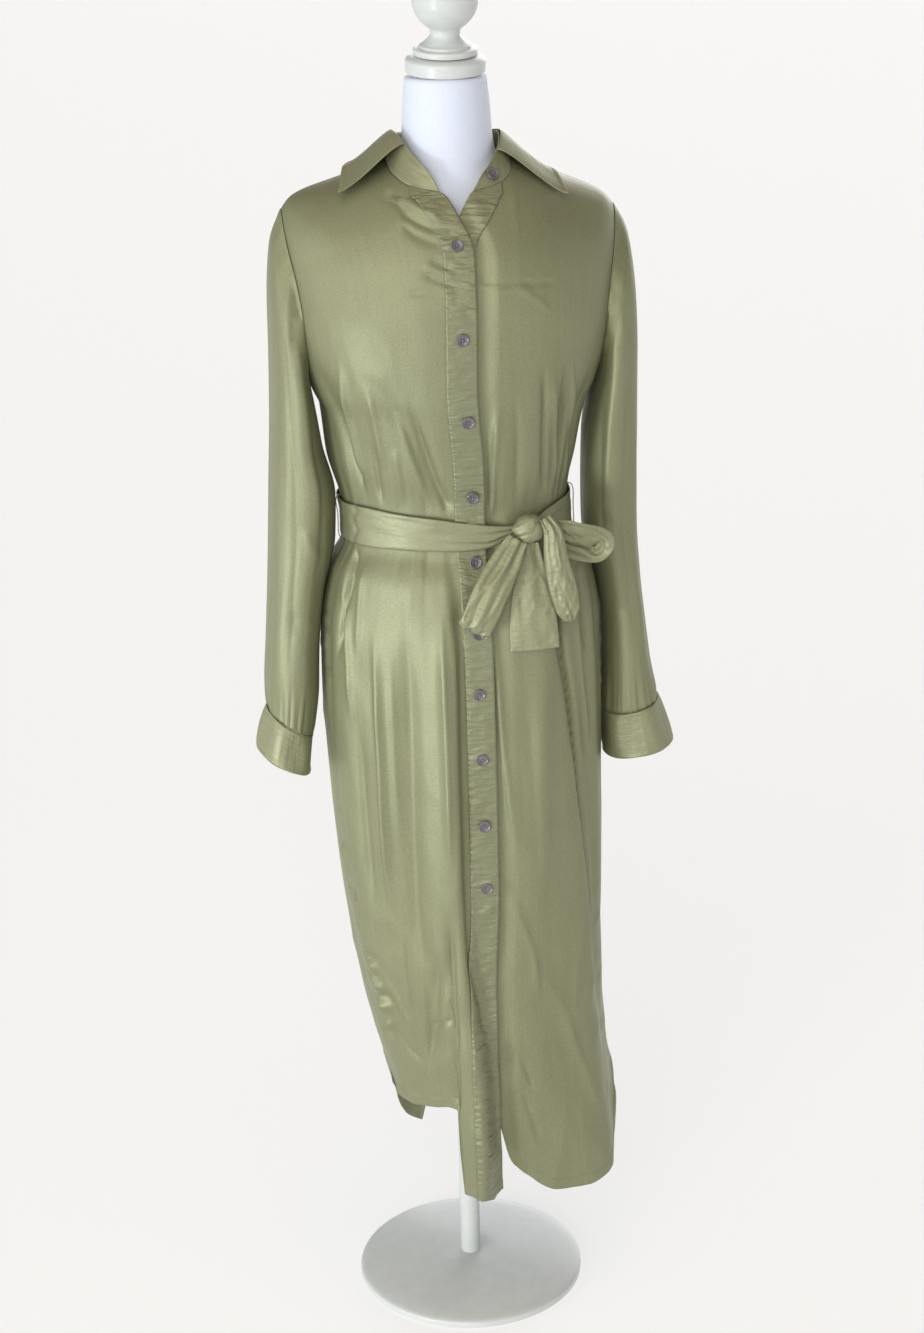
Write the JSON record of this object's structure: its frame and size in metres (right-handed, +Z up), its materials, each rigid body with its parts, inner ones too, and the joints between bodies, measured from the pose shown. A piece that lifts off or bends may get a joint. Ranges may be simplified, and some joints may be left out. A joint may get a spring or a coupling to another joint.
{
  "type": "shirt dress on a limbless dress form",
  "caption": "Long-sleeved satin shirt dress with a pointed collar, buttoned placket, tied belt and curved split hem, on a limbless dress form with a pole and round base.",
  "frame": {"origin": "middle of the round base's underside, on the floor", "axes": "+Z up, the wearer's front towards -Y, the wearer's left towards +X"},
  "size_m": [0.4875, 0.3021, 1.5981],
  "materials": {
    "olive_satin": "satin weave with a soft sheen",
    "olive_satin_trim": "satin weave, two layers",
    "horn_button": "polished, mottled",
    "form_white": "smooth, satin white",
    "painted_wood": "gloss paint"
  },
  "bodies": {
    "root": {"back": "olive_satin", "left_front": "olive_satin", "left_sleeve": "olive_satin", "right_front": "olive_satin", "right_sleeve": "olive_satin", "belt": "olive_satin_trim", "belt_knot": "olive_satin_trim", "belt_narrow_end": "olive_satin_trim", "belt_wide_end": "olive_satin_trim", "bow_low_loop": "olive_satin_trim", "bow_side_loop": "olive_satin_trim", "button_band": "olive_satin_trim", "collar_leaf": "olive_satin_trim", "collar_stand": "olive_satin_trim", "left_cuff": "olive_satin_trim", "placket": "olive_satin_trim", "right_cuff": "olive_satin_trim", "button_01": "horn_button", "button_02": "horn_button", "button_03": "horn_button", "button_04": "horn_button", "button_05": "horn_button", "button_06": "horn_button", "button_07": "horn_button", "button_08": "horn_button", "button_09": "horn_button", "button_10": "horn_button", "left_cuff_button": "horn_button", "right_cuff_button": "horn_button", "stand_button": "horn_button", "form_torso": "form_white", "base": "painted_wood", "finial": "painted_wood", "neck_cap": "painted_wood", "pole": "painted_wood"}
  },
  "joints": []
}
